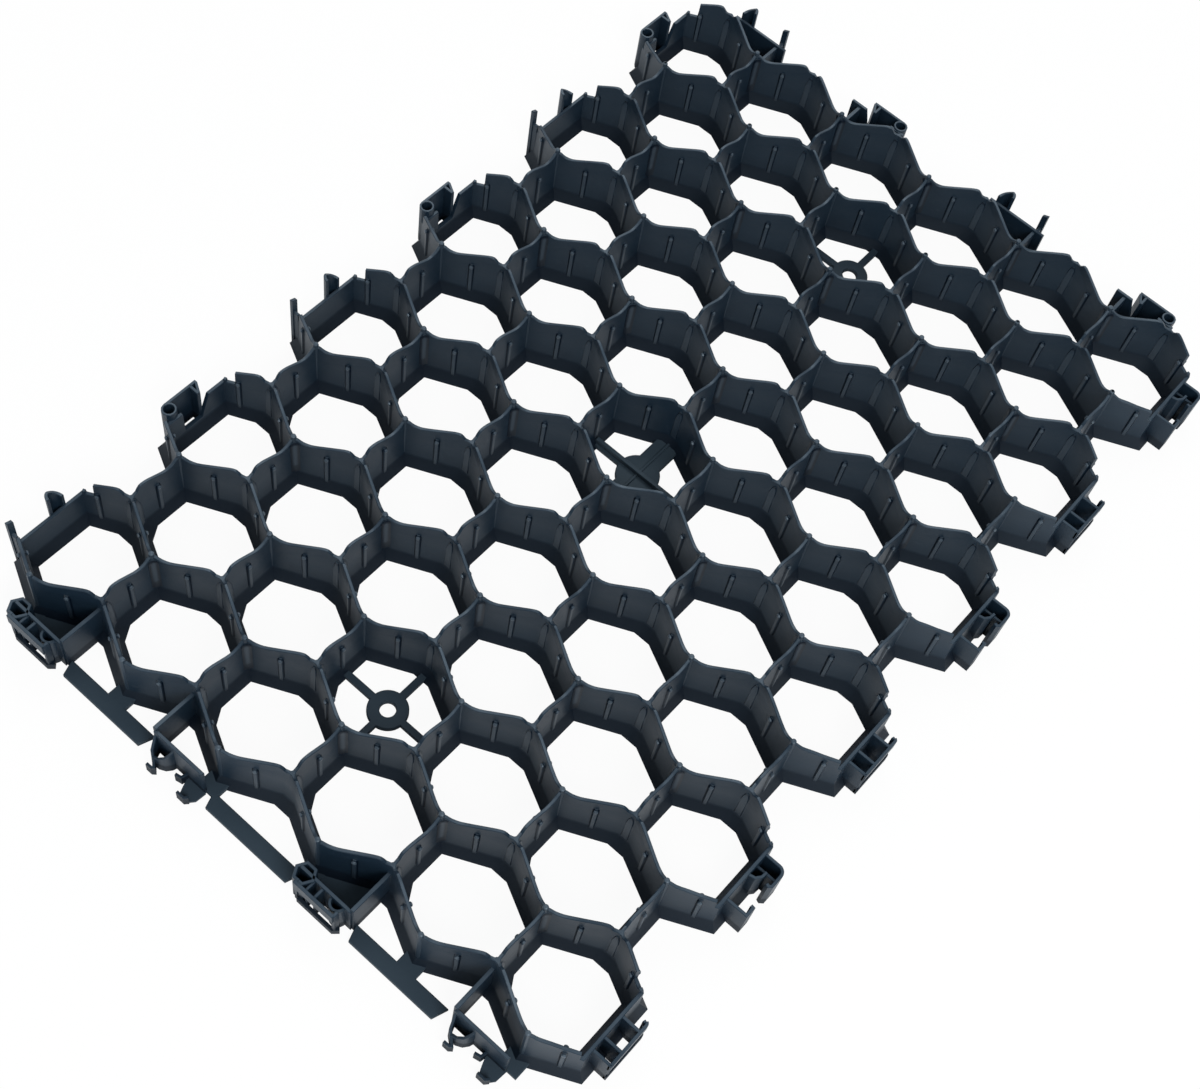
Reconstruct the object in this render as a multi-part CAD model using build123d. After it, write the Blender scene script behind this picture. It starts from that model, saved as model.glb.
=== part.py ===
from build123d import *
import math
import os

# Gravel grid: one moulded plastic honeycomb panel that lies on the ground and is filled with gravel.
# Millimetres. X runs along the panel, Y across it, the underside is Z = 0 and the origin is its centre.

# Honeycomb: rows of cells follow one another along X, and the flat sides of a cell face along Y
cell_width = 70.0
cell_half_length = 34.5
row_count = 11
long_row_cells = 6
edge_setback = 9.0

# Cell walls on a foot that flares to the ground; every second corner of a cell is closed by a flat facet
wall_thickness = 2.6
foot_width = 11.6
foot_height = 7.0
facet_width = 7.5
cut_margin = 4.0

# Wavy rim: from a small knob it falls to a trough, climbs to a crest and dips at the faceted corner
knob_height = 41.5
knob_radius = 2.0
shoulder_height = 38.6
trough_start = 6.5
trough_end = 12.0
trough_height = 35.5
brow_before_end = 13.0
brow_height = 40.1
crest_before_end = 8.0
crest_height = 40.9
dip_run = 5.3
dip_height = 36.5
dip_reach = 3.6

# Side walls at both long edges, straight and lower than the rest
side_wall_height = 25.5

# Hubs on the ground inside three cells, on four spokes; the middle one is solid with a raised cross
hub_rows = 4
hub_thickness = 3.0
hub_radius = 11.5
hub_hole_radius = 4.5
spoke_width = 4.2
centre_hub_radius = 13.2
centre_spoke_along = 15.0
centre_spoke_across = 8.2
stiffener_width = 2.4
stiffener_height = 3.5

# Clips that join one panel to the next, one for every one and a half cells along the short edges
clip_step = 1.5
clip_wall = 1.8
clip_top = 25.0

# Plates and webs that carry the clips of the short edges, placed from the line of the cell tips
plate_thickness = 2.0
web_thickness = 2.4
web_height = 28.5
east_plate_reach = 7.25
east_plate_top = 30.0
east_plate_past = 6.5
east_clip_shift = 3.0
west_plate_reach = 11.55
west_plate_top = 26.0

# Flat edging strip on the ground outside one short edge, and thin floor plates beside its channel clips
strip_gap = 8.75
strip_width = 9.0
strip_thickness = 3.0
strip_stop_at_web = 6.0
strip_stop_at_tip = 3.0
land_half_width = 6.5
floor_plate_thickness = 2.5

# Blade and ear clips: a tall blade, and half a tube with a sloping top
blade_start = -23.5
blade_width = 3.6
blade_reach = 4.0
tall_clip_top = 41.0
ear_start = 0.5
ear_radius = 5.0
ear_peak_width = 3.0
ear_low = 35.0

# Tube and tooth clips: a tube, an outer plate and a slanted tooth, behind which the wall is notched
tube_place = -14.8
tube_radius = 4.6
tube_bore_radius = 2.7
tube_offset = 4.2
tube_clip_top = 31.0
tooth_start = 3.0
tooth_end = 9.2
notch_floor = 8.0
notch_start = -9.6
notch_rise = 7.0

# Channel clips: an outer plate with two windows on three cross walls
channel_start = -16.0
channel_length = 29.0
channel_dividers = (8.4, 22.0)
window_bottom = 5.5
window_top = 18.0
side_channel_reach = 13.0
strip_channel_reach = 9.2

# Hook clips: a leg with a hooked tip, and a pocket with one rounded corner
hook_start = -16.0
hook_length = 7.0
pocket_start = 0.0
pocket_length = 18.0
pocket_round = 4.0
pocket_divider = 3.0
side_hook_reach = 14.5
strip_hook_reach = 12.0

row_pitch = 1.5 * cell_half_length
last_row = row_count // 2
half_wall = wall_thickness / 2
half_foot = foot_width / 2
cell_rise = cell_width / 2
cell_run = cell_half_length / 2
side_wall_y = long_row_cells * cell_width / 2 - edge_setback
side_wall_half = cell_half_length - (cell_rise - edge_setback) * cell_run / cell_rise
corner_x = last_row * row_pitch + cell_half_length
valley_x = corner_x - cell_run
east_plate_x = corner_x + east_plate_reach
west_plate_x = -corner_x - west_plate_reach
strip_inner_x = -corner_x - strip_gap
cut_top = knob_height + cut_margin
foot_lean = math.degrees(math.atan2(half_foot - half_wall, foot_height))
on_ground = (Align.CENTER, Align.CENTER, Align.MIN)


def row_cells(row):
    """The Y places of the cells in a row, counted from the middle row."""
    count = long_row_cells if row % 2 else long_row_cells - 1
    return [(i - (count - 1) / 2) * cell_width for i in range(count)]


def all_cells():
    """The centre of every cell."""
    return [(row * row_pitch, y) for row in range(-last_row, last_row + 1) for y in row_cells(row)]


def cell_corners(inset, north, south):
    """Corners of a cell whose sides are moved in by inset, from the one on +X and then anticlockwise."""
    slope = math.hypot(cell_rise, cell_run)
    tip = cell_half_length - inset * slope / cell_rise
    high = north - inset
    low = south - inset
    shift = cell_run / cell_rise
    return [
        (tip, 0.0),
        (tip - high * shift, high),
        (high * shift - tip, high),
        (-tip, 0.0),
        (low * shift - tip, -low),
        (tip - low * shift, -low),
    ]


def cell_face(north, south):
    """A cell's upper outline, with every second corner closed by a flat facet."""
    corners = [Vector(x, y) for x, y in cell_corners(half_wall, north, south)]
    points = []
    for i, corner in enumerate(corners):
        if i % 2:
            points.append(corner)
            continue
        back = (corners[i - 1] - corner).normalized()
        ahead = (corners[(i + 1) % 6] - corner).normalized()
        leg = facet_width / 2 / math.sin(math.acos(back.dot(ahead)) / 2)
        points.append(corner + back * leg)
        points.append(corner + ahead * leg)
    return make_face(Polyline(points, close=True))


def cell_cutter(plain=None):
    """The open space of one cell: upright above and narrower towards the ground, between the feet."""
    north = cell_rise - (edge_setback if plain == "north" else 0)
    south = cell_rise - (edge_setback if plain == "south" else 0)
    upper = cell_face(north, south)
    shaft = extrude(upper, cut_top - foot_height)
    flare = mirror(extrude(upper, foot_height + cut_margin, taper=foot_lean), Plane.XY)
    return Pos(0, 0, foot_height) * (shaft + flare)


def panel_outline():
    """The line along the middle of the outermost walls."""
    north = []
    for row in range(-last_row, last_row + 1):
        x = row * row_pitch
        if row % 2:
            north.append((x - side_wall_half, side_wall_y))
            north.append((x + side_wall_half, side_wall_y))
        else:
            y = row_cells(row)[-1] + cell_rise
            north.append((x - cell_run, y))
            north.append((x + cell_run, y))
    east = []
    for y in reversed(row_cells(last_row)):
        east.append((corner_x, y))
        east.append((valley_x, y - cell_rise))
    east.pop()
    south = [(x, -y) for x, y in reversed(north)]
    west = [(-x, -y) for x, y in east]
    return north + east + south + west


def honeycomb_blank():
    """The panel before its cells are cut: a slab on a flared foot."""
    outline = make_face(Polyline(panel_outline(), close=True))
    upper = offset(outline, half_wall, kind=Kind.INTERSECTION)
    ground = offset(outline, half_foot, kind=Kind.INTERSECTION)
    foot = loft([ground, Pos(0, 0, foot_height) * upper], ruled=True)
    return extrude(upper, knob_height) + foot


def wavy_walls():
    """Each wall with a wavy rim, as its knob's end, its angle and its length."""
    walls = set()
    for x, y in all_cells():
        corners = cell_corners(0, cell_rise, cell_rise)
        for i in range(6):
            knob, dip = (i, (i + 1) % 6) if i % 2 else ((i + 1) % 6, i)
            (x0, y0), (x1, y1) = corners[knob], corners[dip]
            if abs(y + y0) > side_wall_y and abs(y + y1) > side_wall_y:
                continue
            angle = math.degrees(math.atan2(y1 - y0, x1 - x0))
            length = math.hypot(x1 - x0, y1 - y0)
            walls.add((round(x + x0, 3), round(y + y0, 3), round(angle % 360, 3), round(length, 3)))
    return sorted(walls)


def wave_cutter(length):
    """What is cut from above one wall, from beside its knob to just past its dip."""
    past = length + knob_radius
    profile = Polyline(
        (knob_radius, cut_top),
        (knob_radius, shoulder_height),
        (trough_start, trough_height),
        (trough_end, trough_height),
        (length - brow_before_end, brow_height),
        (length - crest_before_end, crest_height),
        (length - dip_run, dip_height),
        (past, dip_height),
        (past, cut_top),
        close=True,
    )
    return extrude(Plane.XZ * make_face(profile), dip_reach, both=True)


def side_wall_cutters():
    """Everything above the low straight walls at both long edges."""
    depth = half_wall + foot_width
    block = Box(2 * side_wall_half + foot_width, depth, cut_top - side_wall_height, align=on_ground)
    cutters = []
    for row in range(-last_row, last_row + 1):
        if row % 2:
            for side in (-1, 1):
                y = side * (side_wall_y - half_wall + depth / 2)
                cutters.append(Pos(row * row_pitch, y, side_wall_height) * block)
    return cutters


def hub(radius, along, across, hole):
    """A disc on the ground with spokes along and across the panel, pierced or stiffened by a cross."""
    disc = Cylinder(radius, hub_thickness, align=on_ground)
    spokes = Box(2 * cell_half_length, along, hub_thickness, align=on_ground)
    spokes += Box(across, 2 * cell_rise, hub_thickness, align=on_ground)
    if hole:
        return disc + spokes - Cylinder(hole, 3 * hub_thickness)
    height = hub_thickness + stiffener_height
    cross = Box(2 * cell_half_length, stiffener_width, height, align=on_ground)
    cross += Box(stiffener_width, 2 * cell_rise, height, align=on_ground)
    return disc + spokes + cross


def upright(x0, x1, y0, y1, top):
    """A plain block that stands on the ground between two places along X and two along Y."""
    return Pos((x0 + x1) / 2, (y0 + y1) / 2, 0) * Box(abs(x1 - x0), abs(y1 - y0), top, align=on_ground)


# Each clip is drawn with X along its edge and Y outward, from the middle of the wall or plate behind it


def blade_and_ear():
    """A tall blade near one end of the wall, and an ear in the shape of half a tube with a sloping top."""
    blade = upright(blade_start, blade_start + blade_width, 0, blade_reach, tall_clip_top)
    middle = ear_start + ear_radius
    ear_end = ear_start + 2 * ear_radius
    ring = Cylinder(ear_radius, tall_clip_top, align=on_ground)
    bore = Cylinder(ear_radius - clip_wall, 3 * tall_clip_top)
    front = Pos(0, ear_radius / 2, 0) * Box(2 * ear_radius, ear_radius, tall_clip_top, align=on_ground)
    ear = Pos(middle, 0, 0) * ((ring - bore) & front)
    peak = ear_start + ear_peak_width
    over = Polyline(
        (peak, cut_top),
        (peak, tall_clip_top),
        (ear_end, ear_low),
        (ear_end, cut_top),
        close=True,
    )
    return blade + (ear - extrude(Plane.XZ * make_face(over), 2 * ear_radius, both=True))


def tube_and_tooth():
    """A tube, an outer plate that leads from it, and a tooth with a slanted side."""
    outer = tube_offset + tube_radius
    tube = Pos(tube_place, tube_offset, 0) * Cylinder(tube_radius, tube_clip_top, align=on_ground)
    plate = upright(tube_place, tooth_start, outer - clip_wall, outer, tube_clip_top)
    lean = Polyline(
        (tooth_start, 0),
        (tooth_start + clip_wall, 0),
        (tooth_end, outer),
        (tooth_start, outer),
        close=True,
    )
    tooth = extrude(make_face(lean), tube_clip_top)
    bore = Pos(tube_place, tube_offset, 0) * Cylinder(tube_bore_radius, 3 * tube_clip_top)
    return tube + plate + tooth - bore


def wall_notch(top):
    """What is cut from the wall behind a tube clip, with a sloping end."""
    slope_end = tooth_start + notch_rise
    profile = Polyline(
        (notch_start, cut_top),
        (notch_start, notch_floor),
        (tooth_start, notch_floor),
        (slope_end, top),
        (slope_end, cut_top),
        close=True,
    )
    return extrude(Plane.XZ * make_face(profile), wall_thickness, both=True)


def channel(reach):
    """An outer plate with two windows on three cross walls."""
    plate = Pos(channel_start + channel_length / 2, reach - clip_wall / 2, 0)
    plate *= Box(channel_length, clip_wall, clip_top, align=on_ground)
    starts = [channel_start + place for place in (0, *channel_dividers)]
    crosses = [upright(start, start + clip_wall, 0, reach, clip_top) for start in starts]
    windows = []
    window_height = window_top - window_bottom
    for start, stop in zip(starts, starts[1:]):
        window = upright(start + clip_wall, stop, reach - 2 * clip_wall, reach + clip_wall, window_height)
        windows.append(Pos(0, 0, window_bottom) * window)
    return plate.fuse(*crosses).cut(*windows)


def hooks(reach):
    """A leg with a hooked tip, and facing it a pocket with one rounded corner."""
    leg = upright(hook_start, hook_start + clip_wall, 0, reach, clip_top)
    tip = upright(hook_start, hook_start + hook_length, reach - clip_wall, reach, clip_top)
    outside = upright(pocket_start, pocket_start + pocket_length, 0, reach, clip_top)
    far_corner = outside.edges().filter_by(Axis.Z).sort_by(Axis.X)[-2:].sort_by(Axis.Y)[-1]
    outside = fillet(far_corner, pocket_round)
    first = pocket_start + pocket_divider
    last = pocket_start + pocket_length - clip_wall
    inside = upright(first + clip_wall, last, 0, reach - clip_wall, clip_top)
    mouth = upright(pocket_start, first, 0, reach - clip_wall, clip_top)
    return leg + tip + (outside - inside - mouth)


def clip_rows():
    """The rows whose side walls carry the first and the second kind of clip."""
    odd = [row for row in range(-last_row, last_row + 1) if row % 2]
    return odd[0::2], odd[1::2]


def clip_places():
    """The Y places of the first and the second kind of clip along the short edges, from +Y down."""
    count = math.floor((long_row_cells - 1) / clip_step) + 1
    places = [((count - 1) / 2 - i) * clip_step * cell_width for i in range(count)]
    return places[0::2], places[1::2]


def clip_ends(place):
    """The web beside a clip of the short edges and the cell tip on its other side."""
    web = min((y for y in row_cells(last_row - 1) if y), key=lambda y: abs(y - place))
    tip = min(row_cells(last_row), key=lambda y: abs(y - place))
    return web, tip


def clip_webs():
    """Both ends of the stretch behind each clip of the short edges: the web's and the cell tip's place."""
    first, second = clip_places()
    return [clip_ends(place) for place in first + second]


def west_supports():
    """The strip, broken off beside its clips, and the webs, host plates and floor plates along it."""
    half_length = row_cells(last_row)[-1]
    outer_x = strip_inner_x - strip_width
    strip = upright(outer_x, strip_inner_x, -half_length, half_length, strip_thickness)
    gaps = []
    pieces = []
    half_web = web_thickness / 2
    for web, tip in clip_webs():
        side = math.copysign(1, web - tip)
        ends = (web + side * strip_stop_at_web, tip - side * strip_stop_at_tip)
        gaps.append(upright(outer_x - strip_width, strip_inner_x + strip_width, *ends, 2 * strip_thickness))
        pieces.append(upright(west_plate_x, -valley_x, web - half_web, web + half_web, web_height))
        face_x = plate_thickness / 2
        pieces.append(upright(west_plate_x - face_x, west_plate_x + face_x, web, tip, west_plate_top))
    for y in row_cells(last_row):
        land = upright(west_plate_x, -corner_x, -land_half_width, land_half_width, strip_thickness)
        pieces.append(Pos(0, y, 0) * land)
    for place in clip_places()[0]:
        web, tip = clip_ends(place)
        floor = Polyline(
            (west_plate_x, tip),
            (west_plate_x, web),
            (-valley_x, web),
            (-corner_x, tip),
            close=True,
        )
        pieces.append(extrude(make_face(floor), floor_plate_thickness))
    return [strip.cut(*gaps), *pieces]


def east_supports():
    """The webs and host plates in front of the other short edge."""
    pieces = []
    face_x = plate_thickness / 2
    half_web = web_thickness / 2
    for web, tip in clip_webs():
        past = web + math.copysign(east_plate_past, web - tip)
        pieces.append(upright(valley_x, east_plate_x, web - half_web, web + half_web, web_height))
        pieces.append(upright(east_plate_x - face_x, east_plate_x + face_x, past, tip, east_plate_top))
    return pieces


os.makedirs("parts", exist_ok=True)

inner_cutter = cell_cutter()
north_cutter = cell_cutter("north")
south_cutter = cell_cutter("south")
edge_y = row_cells(last_row)[-1]
cell_cutters = []
for x, y in all_cells():
    if y == edge_y:
        cutter = north_cutter
    elif y == -edge_y:
        cutter = south_cutter
    else:
        cutter = inner_cutter
    cell_cutters.append(Pos(x, y, 0) * cutter)
grid = honeycomb_blank().cut(*cell_cutters)

walls = wavy_walls()
wave_by_length = {length: wave_cutter(length) for length in {wall[3] for wall in walls}}
rim_cutters = [Pos(x, y, 0) * Rot(0, 0, angle) * wave_by_length[length] for x, y, angle, length in walls]

# Where each clip goes: outward is +Y on one long edge, and the other three edges turn or mirror it
first_rows, second_rows = clip_rows()
first_places, second_places = clip_places()
north = [Pos(row * row_pitch, side_wall_y, 0) for row in range(-last_row, last_row + 1)]
side_notches = [north[row + last_row] * wall_notch(side_wall_height) for row in second_rows]
east_turn = Rot(0, 0, 90)
all_places = first_places + second_places
east = {place: Pos(east_plate_x, place + east_clip_shift, 0) * east_turn for place in all_places}
plate_notches = [east[place] * mirror(wall_notch(east_plate_top), Plane.XZ) for place in second_places]

blade_clip = blade_and_ear()
tube_clip = tube_and_tooth()
clips = [north[row + last_row] * blade_clip for row in first_rows]
clips += [north[row + last_row] * tube_clip for row in second_rows]
clips += [east[place] * mirror(blade_clip, Plane.XZ) for place in first_places]
clips += [east[place] * mirror(tube_clip, Plane.XZ) for place in second_places]
side_channel = mirror(channel(side_channel_reach), Plane.XZ)
side_hooks = mirror(hooks(side_hook_reach), Plane.XZ)
clips += [Pos(row * row_pitch, -side_wall_y, 0) * side_channel for row in first_rows]
clips += [Pos(row * row_pitch, -side_wall_y, 0) * side_hooks for row in second_rows]
west_turn = Rot(0, 0, 90)
clips += [Pos(west_plate_x, place, 0) * west_turn * channel(strip_channel_reach) for place in first_places]
clips += [Pos(west_plate_x, place, 0) * west_turn * hooks(strip_hook_reach) for place in second_places]

hub_x = hub_rows * row_pitch
peg_hub = hub(hub_radius, spoke_width, spoke_width, hub_hole_radius)
hubs = [Pos(side * hub_x, 0, 0) * peg_hub for side in (-1, 1)]
hubs.append(hub(centre_hub_radius, centre_spoke_along, centre_spoke_across, None))

plates = [plate.cut(*plate_notches) for plate in east_supports()]
grid = grid.cut(*rim_cutters, *side_wall_cutters(), *side_notches)
grid = grid.fuse(*hubs, *west_supports(), *plates, *clips)

gravel_grid = Part(grid.wrapped)
gravel_grid.label = "gravel_grid"
export_step(gravel_grid, "parts/gravel_grid.step")
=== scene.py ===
import bpy
import bmesh
import math
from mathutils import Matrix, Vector


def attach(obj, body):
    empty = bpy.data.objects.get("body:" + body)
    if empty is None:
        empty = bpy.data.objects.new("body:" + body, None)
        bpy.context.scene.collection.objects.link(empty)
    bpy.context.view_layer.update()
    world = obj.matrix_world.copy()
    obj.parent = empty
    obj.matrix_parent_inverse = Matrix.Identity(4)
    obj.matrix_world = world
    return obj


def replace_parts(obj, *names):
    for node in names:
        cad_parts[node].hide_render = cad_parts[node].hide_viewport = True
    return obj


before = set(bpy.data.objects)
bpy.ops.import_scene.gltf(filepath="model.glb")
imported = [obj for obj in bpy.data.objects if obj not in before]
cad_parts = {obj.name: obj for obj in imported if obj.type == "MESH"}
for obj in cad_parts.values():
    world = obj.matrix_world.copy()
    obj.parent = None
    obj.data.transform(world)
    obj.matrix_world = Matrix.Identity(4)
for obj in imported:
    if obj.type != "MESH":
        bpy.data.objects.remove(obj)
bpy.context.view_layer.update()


# The plastic of the panel.
# Recycled blue-black polyolefin, moulded in one shot, so every part of the panel has this one finish:
# a soft sheen on the drafted walls, a duller foot, faint flow marks and scuffs on the rims. Painted shade
# makes the foot near black and the walls darker towards the bottom; a painted highlight pales the rims that
# face up.

class Nodes:
    """Adds nodes to one tree, each from its type, its settings and the values or links of its sockets."""

    def __init__(self, tree):
        self.tree = tree

    def add(self, kind, settings=None, sockets=None):
        node = self.tree.nodes.new(kind)
        for name, value in (settings or {}).items():
            setattr(node, name, value)
        for name, value in (sockets or {}).items():
            self.feed(node.inputs[name], value)
        return node

    def feed(self, socket, value):
        if isinstance(value, Figure):
            value = value.socket
        if isinstance(value, bpy.types.NodeSocket):
            self.tree.links.new(value, socket)
        else:
            socket.default_value = value

    def figure(self, kind, settings=None, sockets=None, output=0):
        return Figure(self, self.add(kind, settings, sockets).outputs[output])


class Figure:
    """A socket that can be reckoned with: each sign adds its Math node."""

    def __init__(self, nodes, socket):
        self.nodes = nodes
        self.socket = socket

    def join(self, operation, first, second):
        return self.nodes.figure("ShaderNodeMath", {"operation": operation}, {0: first, 1: second})

    def __add__(self, other):
        return self.join("ADD", self, other)

    def __radd__(self, other):
        return self.join("ADD", other, self)

    def __sub__(self, other):
        return self.join("SUBTRACT", self, other)

    def __rsub__(self, other):
        return self.join("SUBTRACT", other, self)

    def __mul__(self, other):
        return self.join("MULTIPLY", self, other)

    def __rmul__(self, other):
        return self.join("MULTIPLY", other, self)

    def __truediv__(self, other):
        return self.join("DIVIDE", self, other)

    def __mod__(self, other):
        return self.join("FLOORED_MODULO", self, other)

    def __gt__(self, other):
        return self.join("GREATER_THAN", self, other)

    def __lt__(self, other):
        return self.join("LESS_THAN", self, other)

    def floor(self):
        return self.nodes.figure("ShaderNodeMath", {"operation": "FLOOR"}, {0: self})

    def eased(self, low, high):
        """Rises softly from 0 at low to 1 at high."""
        return self.nodes.figure("ShaderNodeMapRange", {"interpolation_type": "SMOOTHSTEP"}, {
            "Value": self,
            "From Min": low,
            "From Max": high,
        })


mm = 0.001
# The wall colour, a near black painted shade for the foot, a pale grey painted highlight mixed with wear for
# rims that face up, and dust.
wall_blue = (0.0103, 0.0230, 0.0395)
foot_shade_black = (0.0015, 0.0055, 0.013)
rim_highlight_grey = (0.062, 0.084, 0.108)
dust_grey = (0.075, 0.095, 0.115)


def passing(nodes, factor, first, second):
    """One colour passing into another as the factor rises."""
    return nodes.add("ShaderNodeMix", {"data_type": "RGBA"}, {0: factor, 6: first, 7: second}).outputs[2]


def moulded_plastic(name, upper, lower, worn_and_lit, gloss, painted_crest_light=False):
    """The panel's plastic: painted shade near black on the foot and darker low on the walls, blue-grey up the
    walls, and a painted highlight mixed with wear on rims that face up.

    A piece with painted crest light has its own marks, from 0, painted shade where it meets the wall, to
    above
    1, the brightest painted highlight.
    """
    plastic = bpy.data.materials.new(name)
    plastic.use_nodes = True
    plastic.node_tree.nodes.clear()
    nodes = Nodes(plastic.node_tree)
    place = nodes.add("ShaderNodeTexCoord").outputs["Object"]
    height = nodes.figure("ShaderNodeSeparateXYZ", None, {0: place}, 2)
    facing = nodes.add("ShaderNodeNewGeometry").outputs["Normal"]
    facing_up = nodes.figure("ShaderNodeSeparateXYZ", None, {0: facing}, 2)
    clouds = nodes.figure("ShaderNodeTexNoise", None, {"Vector": place, "Scale": 34.0, "Detail": 3.0})
    flow = nodes.figure("ShaderNodeTexNoise", None, {
        "Vector": place,
        "Scale": 160.0,
        "Detail": 4.0,
        "Distortion": 1.2,
    })
    grain = nodes.figure("ShaderNodeTexNoise", None, {"Vector": place, "Scale": 1500.0, "Detail": 2.0})
    # Painted shade: the foot below the crease takes the near black, and the walls darken towards the bottom.
    above_foot = height.eased(6.0 * mm, 8.5 * mm)
    shade_lifting_up_wall = height.eased(8.0 * mm, 24.0 * mm)
    tone = above_foot * (0.22 + 0.34 * shade_lifting_up_wall + 0.9 * clouds)
    # Painted highlight, mixed with wear: rims that face up, high on the walls, turn pale grey.
    rubbed_and_lit = facing_up.eased(0.55, 0.95) * height.eased(20.0 * mm, 30.0 * mm) * (2.4 * clouds - 0.62)
    if painted_crest_light:
        # Painted light on these pieces: shade where they meet the wall, highlight along crests and heads.
        crest = nodes.figure("ShaderNodeAttribute", {"attribute_name": "crest"}, None, 2)
        tone = tone * crest.eased(0.5, 1.0) * 1.1
        rubbed_and_lit = rubbed_and_lit + 0.26 * crest.eased(0.6, 1.0) + 0.9 * crest.eased(1.1, 1.6)
    shade = passing(nodes, tone, (*lower, 1), (*upper, 1))
    edged = passing(nodes, rubbed_and_lit, shade, (*worn_and_lit, 1))
    scuff = flow.eased(0.62, 0.78)
    dusty = passing(nodes, scuff * above_foot * 0.16, edged, (*dust_grey, 1))
    roughness = gloss + 0.16 * (clouds - 0.5) + 0.12 * scuff + 0.16 * (1 - above_foot)
    relief = 0.6 * flow + 0.4 * grain
    bump = nodes.add("ShaderNodeBump", None, {"Strength": 0.22, "Distance": 0.0004, "Height": relief})
    finish = nodes.add("ShaderNodeBsdfPrincipled", None, {
        "Base Color": dusty,
        "Roughness": roughness,
        "IOR": 1.44,
        "Specular Tint": (0.76, 0.9, 1.0, 1),
        "Normal": bump.outputs[0],
    })
    nodes.add("ShaderNodeOutputMaterial", None, {"Surface": finish.outputs[0]})
    return plastic


panel_plastic = moulded_plastic("panel_plastic", wall_blue, foot_shade_black, rim_highlight_grey, 0.42)


# The honeycomb.
# Sixty-one cells share thin upright walls on a flared foot, all one moulding. Each wall's rim runs in a wave
# from a knob down to a trough and up to a crest beside a flat facet, which closes every second corner.

cell_width = 70 * mm
cell_half_length = 34.5 * mm
row_pitch = 1.5 * cell_half_length
last_row = 5
long_row_cells = 6
cell_rise = cell_width / 2
cell_run = cell_half_length / 2
side_wall_y = 201 * mm
side_wall_height = 25.5 * mm
half_wall = 1.3 * mm
half_foot = 5.8 * mm
half_facet = 3.75 * mm
rim_facet = 0.5 * mm
foot_facet = 6.4 * mm
facet_start = 24.5 * mm
facet_end = 36 * mm
rim_reach = 2.5 * mm
draft = 0.0115
hair = 1e-6
corner_x = last_row * row_pitch + cell_half_length
valley_x = corner_x - cell_run
full_slope = math.hypot(cell_rise, cell_run)
outer_corner_y = long_row_cells * cell_rise
side_wall_half = cell_half_length - (cell_rise - (outer_corner_y - side_wall_y)) * cell_run / cell_rise
crease = 7.9 * mm
foot_rows = [
    (0, 0), (half_foot, 0), (half_foot - 0.25 * mm, 0.5 * mm), (1.95 * mm, 6.3 * mm), (half_wall, crease),
]
rim_rows = [(0, -0.35 * mm), (0.3 * mm, 0), (2 * mm, 0.04 * mm)]
hexagon = ((1, 0), (0.5, 1), (-0.5, 1), (-1, 0), (-0.5, -1), (0.5, -1))


def row_cells(row):
    """The y of each cell in a row."""
    count = long_row_cells if row % 2 else long_row_cells - 1
    return [(i - (count - 1) / 2) * cell_width for i in range(count)]


def corner_key(x, y):
    """A corner's place in tenths of a millimetre, by which the cells that meet there find it."""
    return round(x / mm, 1) + 0.0, round(y / mm, 1) + 0.0


corner_kinds = {}
for row in range(-last_row, last_row + 1):
    for y in row_cells(row):
        for i, (turn, lift) in enumerate(hexagon):
            key = corner_key(row * row_pitch + turn * cell_half_length, y + lift * cell_rise)
            corner_kinds[key] = "knob" if i % 2 else "dip"
for row in range(-last_row, last_row + 1, 2):
    for end in (-1, 1):
        for side in (-1, 1):
            corner_kinds[corner_key(row * row_pitch + end * side_wall_half, side * side_wall_y)] = "side"


def smooth_through(keys):
    """A curve through the keys, as a function of the first of their two values."""
    def at(u):
        u = min(max(u, keys[0][0]), keys[-1][0])
        for i in range(len(keys) - 1):
            if u <= keys[i + 1][0]:
                break
        (x0, y0), (x1, y1) = keys[i], keys[i + 1]
        before = keys[i - 1] if i else keys[i]
        after = keys[i + 2] if i + 2 < len(keys) else keys[i + 1]
        slope0 = (y1 - before[1]) / (x1 - before[0])
        slope1 = (after[1] - y0) / (after[0] - x0)
        w = x1 - x0
        f = (u - x0) / w
        bend = f * f * (3 - 2 * f)
        return y0 + (y1 - y0) * bend + w * f * (1 - f) * ((1 - f) * slope0 - f * slope1)
    return at


def rim_height(length):
    """The wave of a whole wall, from its knob at 0 down to the trough and up to its faceted corner."""
    keys = [
        (0, 38.9), (2.0, 38.6), (5.0, 36.3), (8.5, 35.3), (11.5, 35.5),
        (length / mm - 13, 39.8), (length / mm - 8, 40.9), (length / mm - 5.8, 40.2),
        (length / mm - 3.2, 36.8), (length / mm - 1.6, 36.3), (length / mm, 36.3),
    ]
    curve = smooth_through(keys)
    return lambda s: curve(s / mm) * mm


# How high a rim may rise beside a side wall, by the distance from it in mm: stepped on a wall that comes from
# a knob, nearly level on one that comes from a facet. The notch lies behind a tube, from the wall's middle.
stepped_end = [(0, 25.5), (0.5, 28.3), (1.9, 28.3), (2.3, 26.2), (7.6, 26.6), (7.8, 45), (90, 45)]
level_end = [(0, 25.5), (1.4, 25.6), (1.6, 32.8), (11, 33.8), (20, 35.6), (21, 45), (90, 45)]
notch = [(-9.9, 25.5), (-9.4, 9.2), (3.2, 9.2), (9.6, 25.5)]
notched_rows = (-3, 1, 5)


def straight_through(keys, u):
    """The value at u on straight lines through the keys."""
    for (x0, y0), (x1, y1) in zip(keys, keys[1:]):
        if u <= x1:
            return y0 + (y1 - y0) * max(u - x0, 0) / (x1 - x0)
    return keys[-1][1]


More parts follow.
